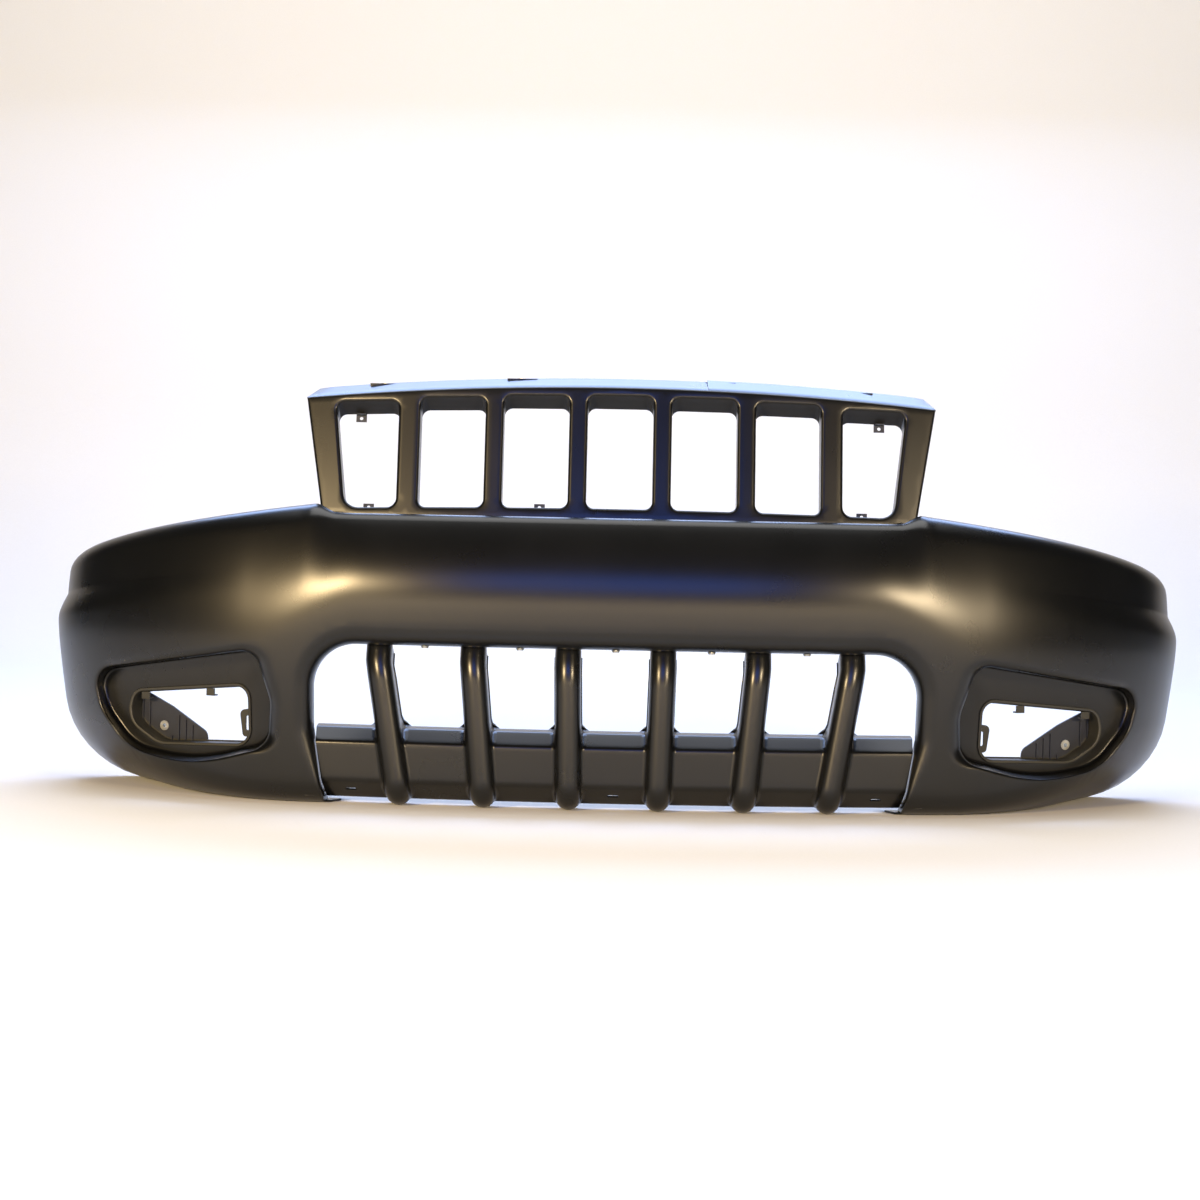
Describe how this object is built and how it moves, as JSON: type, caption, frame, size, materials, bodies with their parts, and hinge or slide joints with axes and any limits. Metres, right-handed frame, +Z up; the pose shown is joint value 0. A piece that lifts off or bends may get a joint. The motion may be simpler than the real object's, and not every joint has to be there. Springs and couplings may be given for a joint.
{
  "type": "front bumper cover",
  "caption": "Moulded front bumper cover for a sport utility vehicle, with slotted grille surround, ribbed lower grille insert and lamp pockets.",
  "frame": {"origin": "centre of the box at the height of the lower edge, on the ground that the cover stands on", "axes": "+X to the right as seen from the front, -Y forward, +Z up"},
  "size_m": [1.7896, 0.4438, 0.6405],
  "materials": {
    "cover_plastic": "satin black primer on moulded polypropylene",
    "bezel_plastic": "moulded, unpainted",
    "bracket_plastic": "moulded, blue-black",
    "rivet_nylon": "moulded nylon",
    "spring_steel": "phosphated spring steel",
    "zinc_screws": "zinc plated"
  },
  "bodies": {
    "cover": {"bumper_cover": "cover_plastic", "grille_surround": "cover_plastic", "lower_grille": "cover_plastic", "fog_bezel_left": "bezel_plastic", "fog_bezel_right": "bezel_plastic", "fog_bracket_left": "bracket_plastic", "fog_bracket_right": "bracket_plastic", "fog_lamp_nut_left": "zinc_screws", "fog_lamp_nut_right": "zinc_screws", "fog_bracket_screws_left": "zinc_screws", "fog_bracket_screws_right": "zinc_screws", "fender_bracket_left": "bracket_plastic", "fender_bracket_right": "bracket_plastic", "fender_screws_left": "zinc_screws", "fender_screws_right": "zinc_screws", "surround_screws": "zinc_screws", "surround_u_nuts": "spring_steel", "mount_sleeves": "zinc_screws", "slot_clips_lower": "spring_steel", "slot_clips_upper": "spring_steel", "lower_grille_screws": "zinc_screws", "rivet_body_left": "rivet_nylon", "rivet_body_right": "rivet_nylon"},
    "rivet_pin_left": {"rivet_pin_left": "rivet_nylon"},
    "rivet_pin_right": {"rivet_pin_right": "rivet_nylon"}
  },
  "joints": [
    {"name": "rivet_slide_left", "type": "slide", "parent": "cover", "child": "rivet_pin_left", "axis": [0, 0, -1], "range_m": [0, 0.005]},
    {"name": "rivet_slide_right", "type": "slide", "parent": "cover", "child": "rivet_pin_right", "axis": [0, 0, -1], "range_m": [0, 0.005]}
  ]
}
